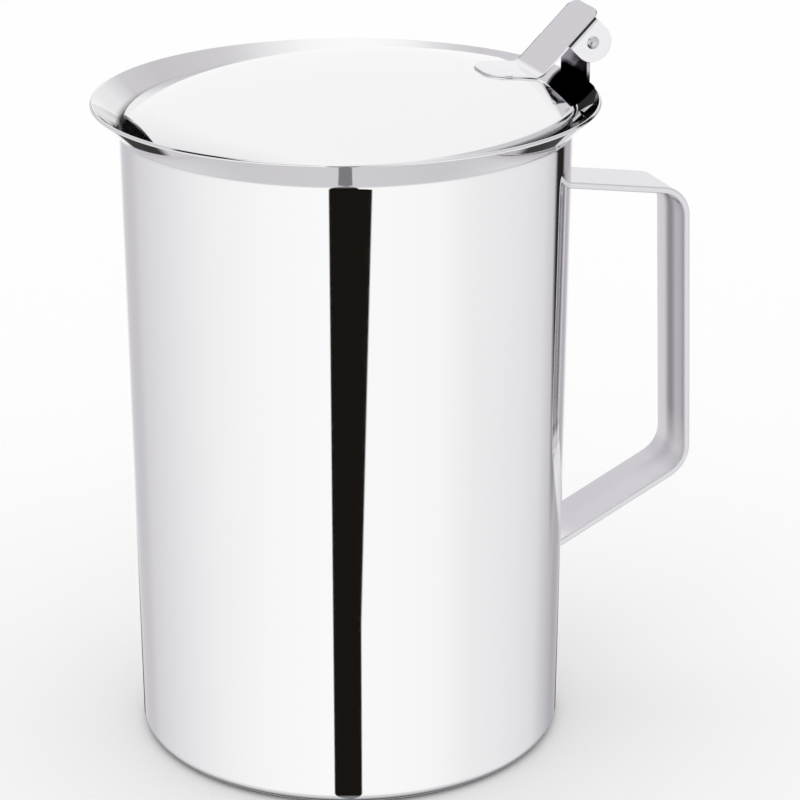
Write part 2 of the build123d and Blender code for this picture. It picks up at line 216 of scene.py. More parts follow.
def strap_flats_and_painted_bands(material, far_rise, near_fall, rounding):
    """Makes the strap's inner face look like two flats that meet in a line along its middle.

    The far flat rises and the near one falls by these slopes, and rounding mm blends them. The
    flats are a bump alone. The light and grey bands, and the dull line between them, are painted
    reflections in the colour.
    """
    tree = material.node_tree
    shader = tree.nodes["Principled BSDF"]
    place = add_node(tree, "ShaderNodeTexCoord")
    parts = add_node(tree, "ShaderNodeSeparateXYZ", {"Vector": place.outputs["Object"]})
    across = parts.outputs["Y"]
    square = add_node(tree, "ShaderNodeMath", {0: across, 1: across}, operation="MULTIPLY")
    square = add_node(tree, "ShaderNodeMath", {0: square.outputs[0], 1: (rounding * MM) ** 2},
                      operation="ADD")
    away = add_node(tree, "ShaderNodeMath", {0: square.outputs[0]}, operation="SQRT")
    height = add_node(tree, "ShaderNodeMath", {
        0: away.outputs[0], 1: (far_rise - near_fall) / 2}, operation="MULTIPLY")
    height = add_node(tree, "ShaderNodeMath", {
        0: across, 1: (far_rise + near_fall) / 2, 2: height.outputs[0]},
        operation="MULTIPLY_ADD")
    flats = add_node(tree, "ShaderNodeBump", {
        "Height": height.outputs[0], "Strength": 1.0, "Distance": 1.0,
        "Normal": shader.inputs["Normal"].links[0].from_socket})
    tree.links.new(flats.outputs["Normal"], shader.inputs["Normal"])
    share = add_node(tree, "ShaderNodeMapRange", {
        "Value": across, "From Min": -strap_width / 2 * MM, "From Max": strap_width / 2 * MM,
        "To Min": 0.0, "To Max": 1.0})
    # Painted reflections: the light and grey bands across the face
    tone = colour_along(tree, share.outputs["Result"], [
        (0.0, linear("b0abb1")), (0.14, linear("cfccd1")), (0.3, linear("d6d3d8")),
        (0.46, linear("a39ea4")), (0.56, linear("a7a2a8")), (0.72, linear("eeedf0")),
        (1.0, linear("f6f5f7"))])
    # The painted reflection bands end where the grip turns into the lower bar, which has one
    # tone.
    on_grip = add_node(tree, "ShaderNodeMapRange", {
        "Value": parts.outputs["Z"], "From Min": painted_bands_end * MM, "From Max": painted_bands_full * MM,
        "To Min": 0.0, "To Max": 1.0})
    tone = add_node(tree, "ShaderNodeMix", {
        "Factor": on_grip.outputs["Result"], 6: linear("f2f1f4"), 7: tone},
        data_type="RGBA")
    tree.links.new(tone.outputs[2], shader.inputs["Base Color"])


# Mirror polish on the drawn jug: sharp reflections, with faint rings from the spinning buff.
mirror_steel = steel("mirror_polished_stainless", "fbfbfb", 0.03, 0.01, (30, 30, 1.5), 0.0002)
# The pressed lid is polished too, a little less: its reflections run softly into one another.
lid_steel = steel("mirror_polished_lid", "fbfbfb", 0.06, 0.02, (3, 3, 3), 0.0002)
# Belt-ground strip: a satin sheen with fine lines across the strap, which blurs reflections.
strip_steel = steel("satin_stainless_strip", "e4e3e6", 0.2, 0.04, (0.6, 6, 0.6), 0.0004)
# Tumbled sheet of the lever: smooth and pale, with even tones on its flat faces.
lever_steel = steel("smoothed_lever_sheet", "f2f1f3", 0.06, 0.02, (1, 1, 1), 0.0002)
# Turned wire of the pin, hammered into domes: a dull, uneven shine.
pin_steel = steel("turned_steel_pin", "dcdadd", 0.25, 0.08, (0.4, 0.4, 0.4), 0.0006)
# Wire-brushed weld on the handle: grey, matt and slightly rough.
weld_steel = steel("brushed_weld_bead", "c9c6c9", 0.33, 0.1, (0.5, 0.5, 0.5), 0.01)
# The bracket's weld: a nearly black colour with a low gloss, painted shade of the dark hinge.
painted_dark_weld = steel("weld_bead_painted_dark", "1c191a", 0.14, 0.05, (0.5, 0.5, 0.5), 0.003)
painted_dark_weld_shader = painted_dark_weld.node_tree.nodes["Principled BSDF"]
painted_dark_weld_shader.inputs["Specular Tint"].default_value = linear("3a3538")
# The jug's inside was left as drawn: matt rings. Its dark grey deep in the jug and under the
# lid's edge is painted shade.
inside_steel = steel("drawn_steel_inside", "e0dee1", 0.4, 0.08, (30, 30, 1.5), 0.0004)
# The strap's inner face was left as rolled: a soft sheen. Its light and grey bands are
# painted reflections in its colour.
strip_inside_steel = steel("rolled_strip_inside_painted_bands", "e4e3e6", 0.2, 0.04, (0.6, 6, 0.6), 0.0003)
# Tumbled plate of the bracket: smooth, but a little duller than the lever.
bracket_steel = steel("smoothed_bracket_plate", "e8e6ea", 0.12, 0.03, (1, 1, 1), 0.0002)

# Painted shade: a dark patch round the bracket's bead, on the jug and on the bracket
painted_hinge_shade(mirror_steel, "fbfbfb")
painted_hinge_shade(bracket_steel, "c8c2ca")
# Painted shade in the gaps and crevices of the jug, the lid, the bracket and the jug's inside
painted_crevice_shade(mirror_steel, 3, 0.45, 0.85)
painted_crevice_shade(lid_steel, 6, 0.35, 0.8)
painted_crevice_shade(bracket_steel, 6, 0.4, 0.85)
painted_crevice_shade(inside_steel, 14, 0.35, 0.8)
# Painted reflections: light and grey bands on the strap's inner face
strap_flats_and_painted_bands(strip_inside_steel, 0.2, 0.1, 1.0)


# Mesh helpers

def rounded(corners, step=math.radians(7.5), hold=0.15):
    """An open line in a plane through corners (a, b, radius), each turned on an arc.

    step is the most that the line turns at a point. A point hold mm before and after each arc
    keeps the flats flat in the shading.
    """
    line = [Vector(corners[0][:2])]
    for before, corner, after in zip(corners, corners[1:], corners[2:]):
        here = Vector(corner[:2])
        back = (Vector(before[:2]) - here).normalized()
        ahead = (Vector(after[:2]) - here).normalized()
        turn = math.pi - back.angle(ahead)
        if corner[2] == 0:
            line.append(here)
            continue
        reach = corner[2] * math.tan(turn / 2)
        bisector = (back + ahead).normalized()
        centre = here + bisector * (corner[2] / math.cos(turn / 2))
        start = here + back * reach
        count = max(3, math.ceil(turn / step))
        side = 1 if back.cross(ahead) < 0 else -1
        line.append(start + back * hold)
        for i in range(count + 1):
            swing = Matrix.Rotation(side * turn * i / count, 2)
            line.append(centre + swing @ (start - centre))
        line.append(here + ahead * (reach + hold))
    line.append(Vector(corners[-1][:2]))
    return line


def densified(line, longest):
    """The same line with no piece of it longer than longest."""
    result = [line[0]]
    for start, end in zip(line, line[1:]):
        count = max(1, math.ceil((end - start).length / longest))
        result += [start.lerp(end, i / count) for i in range(1, count + 1)]
    return result


def skin(rows, closed=False):
    """Faces between rows of equally many points; closed joins each row's ends."""
    across = len(rows[0])
    faces = []
    for i in range(len(rows) - 1):
        for j in range(across if closed else across - 1):
            after = (j + 1) % across
            faces.append((i * across + j, (i + 1) * across + j,
                          (i + 1) * across + after, i * across + after))
    return [point for row in rows for point in row], faces


def mesh_piece(name, points, faces, weld_within=0.002):
    """An object of that mesh, given in millimetres, with its normals outwards."""
    mesh = bpy.data.meshes.new(name)
    mesh.from_pydata([[c * MM for c in point] for point in points], [], faces)
    shape = bmesh.new()
    shape.from_mesh(mesh)
    bmesh.ops.remove_doubles(shape, verts=shape.verts, dist=weld_within * MM)
    bmesh.ops.recalc_face_normals(shape, faces=shape.faces)
    shape.to_mesh(mesh)
    shape.free()
    piece = bpy.data.objects.new(name, mesh)
    bpy.context.scene.collection.objects.link(piece)
    return piece


def dress(piece, material, body, nodes, sharp=35):
    """Gives a piece its steel, its shading, its body and the nodes it replaces."""
    piece.data.materials.clear()
    piece.data.materials.append(material)
    piece.data.shade_smooth()
    piece.data.set_sharp_from_angle(angle=math.radians(sharp))
    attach(piece, body)
    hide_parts(*nodes)
    return piece


def line_inside(piece, material, is_inside):
    """A second finish on the faces that is_inside picks by centre in mm and normal."""
    piece.data.materials.append(material)
    for face in piece.data.polygons:
        if is_inside(face.center / MM, face.normal):
            face.material_index = 1


def soften(piece, width, segments=2, angle=50):
    """Rounds a piece's sharp edges by a small bevel, width in mm."""
    bevel = piece.modifiers.new("soft_edges", "BEVEL")
    bevel.width = width * MM
    bevel.segments = segments
    bevel.limit_method = "ANGLE"
    bevel.angle_limit = math.radians(angle)


def thicken(piece, thickness):
    """Gives a sheet's middle face its thickness in mm, half to each side."""
    sheet = piece.modifiers.new("sheet", "SOLIDIFY")
    sheet.thickness = thickness * MM
    sheet.offset = 0
    sheet.use_even_offset = True


def spun(line, turns=360):
    """A line of (radius, height) turned about the jug's axis."""
    rows = []
    for i in range(turns):
        angle = math.tau * i / turns
        rows.append([(p[0] * math.cos(angle), p[0] * math.sin(angle), p[1]) for p in line])
    rows.append(rows[0])
    return skin(rows)


# Jug body

def inner_flare(radius):
    """Height of the flare's inner face at a radius."""
    return neck_height + (radius - neck_radius) * flare_slope + body_sheet / math.cos(flare_angle)


def make_jug():
    lip_x = rim_radius - body_sheet * math.sin(flare_angle)
    lip_z = rim_height + body_sheet * math.cos(flare_angle)
    inner_neck = neck_radius - body_sheet
    corners = [
        (0, 0, 0),
        (base_radius, 0, base_corner),
        (neck_radius, neck_height, neck_bend),
        (rim_radius, rim_height, lip_edge),
        (lip_x, lip_z, lip_edge),
        (inner_neck, inner_flare(inner_neck), neck_bend + body_sheet),
        (base_radius - body_sheet, body_sheet, base_corner - body_sheet),
        (0, body_sheet, 0),
    ]
    return mesh_piece("jug_shell", *spun(densified(rounded(corners), wall_step)))


def is_inside_jug(centre, normal):
    """True on the floor, the wall and the bend under the flare."""
    inwards = Vector((-centre.x, -centre.y, floor_rise))
    return (math.hypot(centre.x, centre.y) < inside_end and normal.dot(inwards) > 0
            and centre.z > body_sheet / 2)


# Lid

edge_centre = Vector((lid_radius - lid_edge_bend, lid_edge_height + lid_skirt))
crown_end = math.asin(shoulder_start / crown_radius)
shoulder_x = shoulder_start - shoulder_radius * math.sin(crown_end)
shoulder_end = math.asin((edge_centre.x - shoulder_x) / (shoulder_radius - lid_edge_bend))
shoulder_z = edge_centre.y - (shoulder_radius - lid_edge_bend) * math.cos(shoulder_end)
crown_z = shoulder_z - (crown_radius - shoulder_radius) * math.cos(crown_end)
lid_seat = (
    Matrix.Translation((lid_shift, 0, edge_centre.y))
    @ Matrix.Rotation(-lid_tilt, 4, "Y")
    @ Matrix.Translation((0, 0, -edge_centre.y))
)


def arc(across, height, radius, start, end, steps):
    """Points on an arc round a centre, from one angle off the vertical to another."""
    angles = [start + (end - start) * i / steps for i in range(steps + 1)]
    return [Vector((across + radius * math.sin(a), height + radius * math.cos(a)))
            for a in angles]


def lid_line(inset):
    """The lid's outline from its middle to the foot of its edge, inset from its outer face."""
    crown = arc(0, crown_z, crown_radius - inset, 0, crown_end, 30)
    shoulder = arc(shoulder_x, shoulder_z, shoulder_radius - inset, crown_end, shoulder_end, 24)
    edge = arc(edge_centre.x, edge_centre.y, lid_edge_bend - inset, shoulder_end, math.pi / 2, 12)
    return crown + shoulder[1:] + edge[1:]


def lid_height(x, y):
    """Height on the jug of the lid's outer face above a place, where it is shoulder or crown."""
    # The height starts near the dome and is moved by what it misses the face by.
    height = edge_centre.y + 5
    for _ in range(8):
        place = lid_seat.inverted() @ Vector((x, y, height))
        radius = math.hypot(place.x, place.y)
        if radius <= shoulder_start:
            face = crown_z + math.sqrt(crown_radius ** 2 - radius ** 2)
        else:
            face = shoulder_z + math.sqrt(shoulder_radius ** 2 - (radius - shoulder_x) ** 2)
        height += face - place.z
    return height


def hinge_notch():
    """A block with the outline of the piece cut out of the lid's edge round the hinge."""
    rim_at = lid_radius + lid_shift
    closing = (hinge_cut_half - hinge_cut_rim_half) / (rim_at - hinge_cut)
    outside = rim_at + 2 * lid_sheet
    outside_half = hinge_cut_rim_half - closing * (outside - rim_at)
    outline = rounded([
        (outside, -outside_half, 0),
        (hinge_cut, -hinge_cut_half, hinge_cut_corner),
        (hinge_cut, hinge_cut_half, hinge_cut_corner),
        (outside, outside_half, 0),
    ])
    rows = [[(p.x, p.y, z) for p in outline] for z in (notch_bottom, notch_top)]
    points, faces = skin(rows, closed=True)
    count = len(outline)
    faces += [tuple(range(count)), tuple(range(2 * count - 1, count - 1, -1))]
    return mesh_piece("notch_block", points, faces)


def cut_away(piece, block):
    """Cuts a block's form out of a piece and deletes the block."""
    cutting = piece.modifiers.new("cut", "BOOLEAN")
    cutting.operation = "DIFFERENCE"
    cutting.solver = "EXACT"
    cutting.object = block
    result = piece.evaluated_get(bpy.context.evaluated_depsgraph_get())
    mesh = bpy.data.meshes.new_from_object(result)
    piece.modifiers.remove(cutting)
    piece.data = mesh
    bpy.data.objects.remove(block)


def cut_by_plane(shape, x, towards, clear=False):
    """Cuts a mesh at x, takes away what lies beyond if clear, and gives the cut's edges."""
    cut = bmesh.ops.bisect_plane(
        shape, geom=shape.verts[:] + shape.edges[:] + shape.faces[:],
        plane_co=(x, 0, 0), plane_no=(towards, 0, 0), clear_outer=clear)
    return [item for item in cut["geom_cut"] if isinstance(item, bmesh.types.BMEdge)]


def make_lid():
    inside_radius = lid_radius - lid_sheet
    foot = [Vector((lid_radius, lid_edge_height + lid_foot_round)),
            Vector((lid_radius - lid_foot_round, lid_edge_height)),
            Vector((inside_radius + lid_foot_round, lid_edge_height)),
            Vector((inside_radius, lid_edge_height + lid_foot_round))]
    outline = lid_line(0) + foot + lid_line(lid_sheet)[::-1]
    lid = mesh_piece("domed_lid", *spun(outline))
    # It is set on the jug and cut in millimetres, then turned back to metres.
    lid.data.transform(Matrix.Scale(1 / MM, 4))
    lid.data.transform(lid_seat)
    shape = bmesh.new()
    shape.from_mesh(lid.data)
    pour_edges = cut_by_plane(shape, -pour_cut, -1, clear=True)
    bmesh.ops.contextual_create(shape, geom=pour_edges)
    # The corners beside the notch are set down along a straight crease.
    for offset in (-hinge_crease_radius, 0, hinge_crease_radius):
        cut_by_plane(shape, hinge_crease + offset, 1)
    for vert in shape.verts:
        vert.co.z -= hinge_crease_slope * max(0, vert.co.x - hinge_crease)
    bmesh.ops.recalc_face_normals(shape, faces=shape.faces)
    shape.to_mesh(lid.data)
    shape.free()
    lid.data.transform(Matrix.Scale(MM, 4))
    cut_away(lid, hinge_notch())
    soften(lid, lid_soft_edge)
    return lid


# Thumb lever, laid out as a flat blank and folded

def lever_top(x):
    """Place on the lever's upper face, where it lies on the lid."""
    return Vector((x, lid_height(x, 0) + lever_sheet))


tab_along = Vector((math.cos(tab_rise), math.sin(tab_rise)))
tab_normal = Vector((-math.sin(tab_rise), math.cos(tab_rise)))
bend_top = lever_top(lever_bend_at)
ear_foot = bend_top + tab_along * (
    (pin_at + pin_below_tab * tab_normal.x - lever_bend_at) / tab_along.x)
pin_centre = ear_foot - tab_normal * pin_below_tab


def make_lever():
    half = lever_sheet / 2
    leaf_along = (bend_top - lever_top(lever_bend_at - leaf_end_run)).normalized()
    leaf_rise = math.atan2(leaf_along.y, leaf_along.x)
    between = (leaf_rise + tab_rise) / 2
    bend_middle = bend_top + Vector((math.sin(between), -math.cos(between))) * (
        half / math.cos((tab_rise - leaf_rise) / 2))
    tab_end = bend_top + tab_along * ((tab_end_at - lever_bend_at) / tab_along.x)
    tab_end = tab_end - tab_normal * half
    leaf_end = bend_middle - leaf_along * leaf_end_run
    bend_line = rounded([
        (leaf_end.x, leaf_end.y, 0),
        (bend_middle.x, bend_middle.y, lever_bend_radius + half),
        (tab_end.x, tab_end.y, 0),
    ], hold=0.3)

    # Stations along the lever: part, x, place on the middle line, half width
    stations = []
    straight = leaf_end.x - leaf_start
    leaf_steps = [leaf_corner * (1 - math.cos(math.pi / 2 * i / 14)) for i in range(15)]
    leaf_steps += [leaf_corner + (straight - leaf_corner) * i / 8 for i in range(1, 8)]
    for far in leaf_steps:
        width = lever_half_width
        if far < leaf_corner:
            width += math.sqrt(leaf_corner ** 2 - (leaf_corner - far) ** 2) - leaf_corner
        stations.append(("leaf", leaf_start + far, None, width))
    for place in bend_line[:-1]:
        stations.append(("strip", place.x, place, lever_half_width))

    # Marks up the tab, from the bend: past the ears and round the top corners
    bend_past = (bend_line[-2] - bend_middle).dot(tab_along)
    ear_middle = (ear_foot - tab_normal * half - bend_middle).dot(tab_along)
    corner_from = (tab_end - bend_middle).dot(tab_along) - tab_corner
    marks = [bend_past + (ear_middle - ear_radius - bend_past) * i / 6 for i in range(1, 6)]
    marks += [ear_middle - ear_radius * math.cos(math.pi * i / 24) for i in range(25)]
    if corner_from - 0.01 > marks[-1]:
        marks.append(corner_from - 0.01)
    marks += [corner_from + tab_corner * math.sin(math.pi / 2 * i / 12) for i in range(13)]
    for mark in sorted(set(marks)):
        width = lever_half_width
        if mark > corner_from:
            reach = min(tab_corner, mark - corner_from)
            width += math.sqrt(tab_corner ** 2 - reach ** 2) - tab_corner
        place = bend_middle + tab_along * mark
        in_ear = abs(mark - ear_middle) <= ear_radius + 1e-6
        stations.append(("ear" if in_ear else "strip", place.x, place, width))

    points, faces, index = [], [], {}
    fold_from = ear_outer - ear_bend
    middle_bend = ear_bend - half
    inner_steps = 12

    def vertex(key, point):
        if key not in index:
            index[key] = len(points)
            points.append(point)
        return index[key]

    def across(i, side, j):
        """Vertex j out from the middle on one side of station i."""
        part, x, place, width = stations[i]
        inner = min(fold_from, width * fold_share)
        out = inner * j / inner_steps if j <= inner_steps else width
        if part == "leaf":
            # The leaf follows the dome, and flattens out towards the bend.
            over_middle = lid_height(x, 0) + half + leaf_gap
            over_place = lid_height(x, out) + half + leaf_gap
            domed = min(1, max(0, (leaf_end.x - x) / leaf_end_run))
            spot = (x, side * out, over_middle + (over_place - over_middle) * domed)
        else:
            spot = (place.x, side * out, place.y)
        return vertex((i, side if j else 0, j), spot)

    def ear_column(i, side):
        """Vertices of an ear at station i, from the fold down to its rounded end."""
        place = stations[i][2]
        mark = (place - bend_middle).dot(tab_along)
        depth = pin_below_tab - half + math.sqrt(
            max(0, ear_radius ** 2 - (mark - ear_middle) ** 2))
        column = [across(i, side, inner_steps)]
        for k in range(1, 9):
            fold = math.pi / 2 * k / 8
            out = fold_from + middle_bend * math.sin(fold)
            spot = place - tab_normal * (middle_bend * (1 - math.cos(fold)))
            column.append(vertex((i, side, "fold", k), (spot.x, side * out, spot.y)))
        for k in range(1, 13):
            down = middle_bend + (depth - middle_bend) * k / 12
            spot = place - tab_normal * down
            out = fold_from + middle_bend
            column.append(vertex((i, side, "flank", k), (spot.x, side * out, spot.y)))
        return column

    for side in (-1, 1):
        for i, (here, after) in enumerate(zip(stations, stations[1:])):
            both_ear = here[0] == "ear" and after[0] == "ear"
            for j in range(inner_steps if both_ear else inner_steps + 1):
                faces.append((across(i, side, j), across(i + 1, side, j),
                              across(i + 1, side, j + 1), across(i, side, j + 1)))
        ears = [i for i, station in enumerate(stations) if station[0] == "ear"]
        for i, after in zip(ears, ears[1:]):
            here, there = ear_column(i, side), ear_column(after, side)
            for k in range(len(here) - 1):
                faces.append((here[k], there[k], there[k + 1], here[k + 1]))
    lever = mesh_piece("thumb_lever_sheet", points, faces)
    thicken(lever, lever_sheet)
    soften(lever, sheet_soft_edge)
    return lever


# Hinge pin, with a peened dome outside each ear

def make_pin():
    dome = (pin_head_radius ** 2 + pin_head_height ** 2) / (2 * pin_head_height)
    dome_middle = ear_outer + pin_head_height - dome
    swing = math.asin(pin_head_radius / dome)
    line = [(0.0, 0.0), (pin_radius, 0.0), (pin_radius, ear_outer), (pin_head_radius, ear_outer)]
    for i in range(1, 13):
        angle = swing * (1 - i / 12)
        line.append((dome * math.sin(angle), dome_middle + dome * math.cos(angle)))
    rows = []
    for i in range(65):
        angle = math.tau * i / 64
        rows.append([
            (pin_centre.x + r * math.cos(angle), along, pin_centre.y + r * math.sin(angle))
            for r, along in line])
    points, faces = skin(rows)
    count = len(points)
    points += [(x, -y, z) for x, y, z in points]
    faces += [tuple(count + v for v in face) for face in faces]
    return mesh_piece("peened_hinge_pin", points, faces)


# Hinge bracket: a plate that stands on the flare and is rolled round the pin at its top

def make_bracket():
    roll = pin_radius + pin_clearance + bracket_sheet / 2
    knuckle = pin_centre.y
    rows = []
    for i in range(41):
        y = bracket_half_width * (2 * i / 40 - 1)
        foot = inner_flare(math.hypot(plate_middle, y)) - plate_in_flare
        jog = rounded([
            (plate_middle, foot, 0),
            (plate_middle, knuckle - jog_start, jog_start_bend),
            (pin_at - roll, knuckle - jog_end, jog_end_bend),
            (pin_at - roll, knuckle, 0),
        ], hold=0.1)
        line = [jog[0].lerp(jog[1], k / 16) for k in range(16)] + jog[1:]
        for k in range(1, 45):
            angle = math.pi - roll_turn * k / 44
            line.append(Vector((pin_at + roll * math.cos(angle),
                                knuckle + roll * math.sin(angle))))
        rows.append([(p.x, y, p.y) for p in line])
    bracket = mesh_piece("rolled_hinge_bracket", *skin(rows))
    thicken(bracket, bracket_sheet)
    soften(bracket, sheet_soft_edge)
    return bracket


# Handle strap

def wall_radius(z):
    """The jug's outer radius at a height."""
    return base_radius + (neck_radius - base_radius) * z / neck_height


def strap_line():
    """The middle line of the strap from the top weld round to the lower one."""
    depth = strap_thickness / 2
    top_drop = depth * math.hypot(1, top_bar_fall)
    grip_in = depth * math.hypot(1, grip_lean)
    low_rise = depth * math.hypot(1, lower_bar_slope)

    def top(x):
        return top_bar_at_wall - (x - neck_radius) * top_bar_fall - top_drop

    def low(x):
        return lower_bar_at_wall + (x - neck_radius) * lower_bar_slope + low_rise

    def grip(z):
        return grip_reach + (grip_reach_height - z) * grip_lean - grip_in

    upper = lower = grip_reach
    for _ in range(20):
        upper, lower = grip(top(upper)), grip(low(lower))
    start, end = wall_radius(top_bar_at_wall), wall_radius(lower_bar_at_wall)
    corners = [
        (start, top(start), 0),
        (upper, top(upper), top_bend - depth),
        (lower, low(lower), lower_bend - depth),
        (end, low(end), 0),
    ]
    return densified(rounded(corners, hold=0.4), strap_step)


def strap_section():
    """Rounded section of the strap as (across, out) pairs."""
    half_width, half_depth = strap_width / 2, strap_thickness / 2
    section = []
    for corner, (sy, sn) in enumerate(((1, 1), (-1, 1), (-1, -1), (1, -1))):
        for i in range(5):
            angle = math.pi / 2 * (corner + i / 4)
            section.append((sy * (half_width - strap_edge) + strap_edge * math.cos(angle),
                            sn * (half_depth - strap_edge) + strap_edge * math.sin(angle)))
    full = []
    for (y0, n0), (y1, n1) in zip(section, section[1:] + section[:1]):
        full.append((y0, n0))
        is_flat = abs(y1 - y0) > strap_width / 2
        for k in [0.02] + [i / 12 for i in range(1, 12)] + [0.98] if is_flat else []:
            full.append((y0 + (y1 - y0) * k, n0 + (n1 - n0) * k))
    return full


def make_handle():
    line = strap_line()
    section = strap_section()
    rows = []
    for i, place in enumerate(line):
        before = line[max(0, i - 1)]
        after = line[min(len(line) - 1, i + 1)]
        along = (after - before).normalized()
        out = Vector((-along.y, along.x))
        row = []
        for y, n in section:
            spot = place + out * n
            if i in (0, len(line) - 1):
                wall = math.sqrt((wall_radius(spot.y) - strap_in_wall) ** 2 - y ** 2)
                spot = spot + along * ((wall - spot.x) / along.x)
            row.append((spot.x, y, spot.y))
        rows.append(row)
    return mesh_piece("strap_handle", *skin(rows, closed=True))


def is_inside_grip(centre, normal):
    """True on the strap's face towards the middle of the opening for the hand."""
    from_middle = centre - Vector((grip_middle, 0, grip_middle_height))
    return normal.dot(from_middle) < 0 and abs(normal.y) < 0.5


def make_weld(name, top):
    """A bead of weld round one end of the strap, with the faint steps of its passes."""
    line = strap_line() if top else strap_line()[::-1]
    along = (line[1] - line[0]).normalized()
    out = Vector((-along.y, along.x))
    section = [Vector(p) for p in strap_section()]
    ring = densified(section + [section[0]], bead_step)[:-1]
    rows = []
    for k, (y, n) in enumerate(ring):
        before, after = ring[k - 1], ring[(k + 1) % len(ring)]
        tangent = (after - before).normalized()
        away = Vector((tangent.y, -tangent.x))
        if away.dot(Vector((y, n))) < 0:
            away = -away
        leg = weld_leg * (1 + 0.12 * math.sin(k * 0.9) + 0.06 * math.sin(k * 2.3 + 1))
        row = []
        for i in range(9):
            # The bead is hollow between its foot on the wall and its toe on the strap.
            angle = math.pi / 2 * i / 8
            reach = leg * (1 - math.sin(angle)) + bead_gap
            height = leg * (1 - math.cos(angle)) if i else -bead_in_wall
            spot_y = y + away.x * reach
            spot = line[0] + out * (n + away.y * reach)
            wall = math.sqrt(wall_radius(spot.y) ** 2 - spot_y ** 2)
            spot = spot + along * ((wall - spot.x) / along.x + height)
            row.append((spot.x, spot_y, spot.y))
        rows.append(row)
    rows.append(rows[0])
    return mesh_piece(name, *skin(rows))


def make_bracket_weld():
    """The bead in the corner between the flare and the plate, with its passes' faint steps."""
    rows = []
    steps = 120
    for i in range(steps + 1):
        y = bracket_half_width * (2 * i / steps - 1)
        swell = 1 + 0.1 * math.sin(i * 1.1) + 0.05 * math.sin(i * 2.7)
        from_end = 1 - abs(y) / bracket_half_width
        leg = bracket_bead_leg * swell * min(1, from_end * bead_end_rise + bead_end_share)
        row = []
        for k in range(9):
            angle = math.pi / 2 * k / 8
            x = plate_inner - leg * (1 - math.sin(angle))
            up = leg * (1 - math.cos(angle))
            row.append((x, y, inner_flare(math.hypot(x, y)) + up - bead_gap))
        row.append((plate_inner + bead_in_plate, y, row[-1][2]))
        rows.append(row)
    return mesh_piece("bracket_weld_bead", *skin(rows))


# The finished pieces, each on its body in place of its CAD nodes

jug = dress(make_jug(), mirror_steel, "jug", ["jug_body"])
line_inside(jug, inside_steel, is_inside_jug)
dress(make_lid(), lid_steel, "lid", ["lid_dome"])
dress(make_lever(), lever_steel, "lid", ["thumb_lever"])
dress(make_pin(), pin_steel, "lid", ["hinge_pin"])
dress(make_bracket(), bracket_steel, "jug", ["hinge_bracket"])
handle = dress(make_handle(), strip_steel, "jug", ["handle"])
line_inside(handle, strip_inside_steel, is_inside_grip)
dress(make_weld("top_weld_bead", True), weld_steel, "jug", ["handle_top_weld"])
dress(make_weld("lower_weld_bead", False), weld_steel, "jug", ["handle_lower_weld"])
dress(make_bracket_weld(), painted_dark_weld, "jug", ["bracket_weld"])
for name in ("lever_spot_weld_1", "lever_spot_weld_2"):
    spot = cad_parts[name]
    spot.data.materials.clear()
    spot.data.materials.append(weld_steel)


# Studio: a white tent round the jug, as the steel sees it. Places on it are given in degrees:
# azimuth from the handle towards the far side, and elevation.

WHITE = (1, 1, 1, 1)


def panel(level):
    """A panel's colour for an sRGB grey: white ones are neutral, dark ones lean to lilac."""
    value = linear(f"{level:02x}" * 3)[0]
    lean = 0.06 * (1 - value)
    return (value, value * (1 - lean), value * (1 + lean), 1)


def panel_ring(tree, azimuth, panels):
    """Side panels round the tent: (azimuth, sRGB grey) pairs blended into one another."""
    share = add_node(tree, "ShaderNodeMapRange", {
        "Value": azimuth, "From Min": -180.0, "From Max": 180.0, "To Min": 0.0, "To Max": 1.0})
    stops = [((at + 180) / 360, panel(level)) for at, level in panels]
    return colour_along(tree, share.outputs["Result"], stops)


def light_past_strip(tree, place, start, end, half, soft, left):
    """Light that a dark strip of the tent from start to end leaves: 1 beside it, left on it."""
    along = Vector((end[0] - start[0], end[1] - start[1], 0))
    offset = add_node(tree, "ShaderNodeVectorMath", {0: place, 1: (start[0], start[1], 0)},
                      operation="SUBTRACT")
    share = add_node(tree, "ShaderNodeVectorMath", {
        0: offset.outputs[0], 1: along / along.length_squared}, operation="DOT_PRODUCT")
    share = add_node(tree, "ShaderNodeClamp", {"Value": share.outputs["Value"]})
    nearest = add_node(tree, "ShaderNodeVectorMath", {0: along, "Scale": share.outputs[0]},
                       operation="SCALE")
    away = add_node(tree, "ShaderNodeVectorMath", {
        0: offset.outputs[0], 1: nearest.outputs[0]}, operation="DISTANCE")
    light = add_node(tree, "ShaderNodeMapRange", {
        "Value": away.outputs["Value"], "From Min": half - soft / 2, "From Max": half + soft / 2,
        "To Min": left, "To Max": 1.0}, interpolation_type="SMOOTHSTEP")
    return light.outputs["Result"]


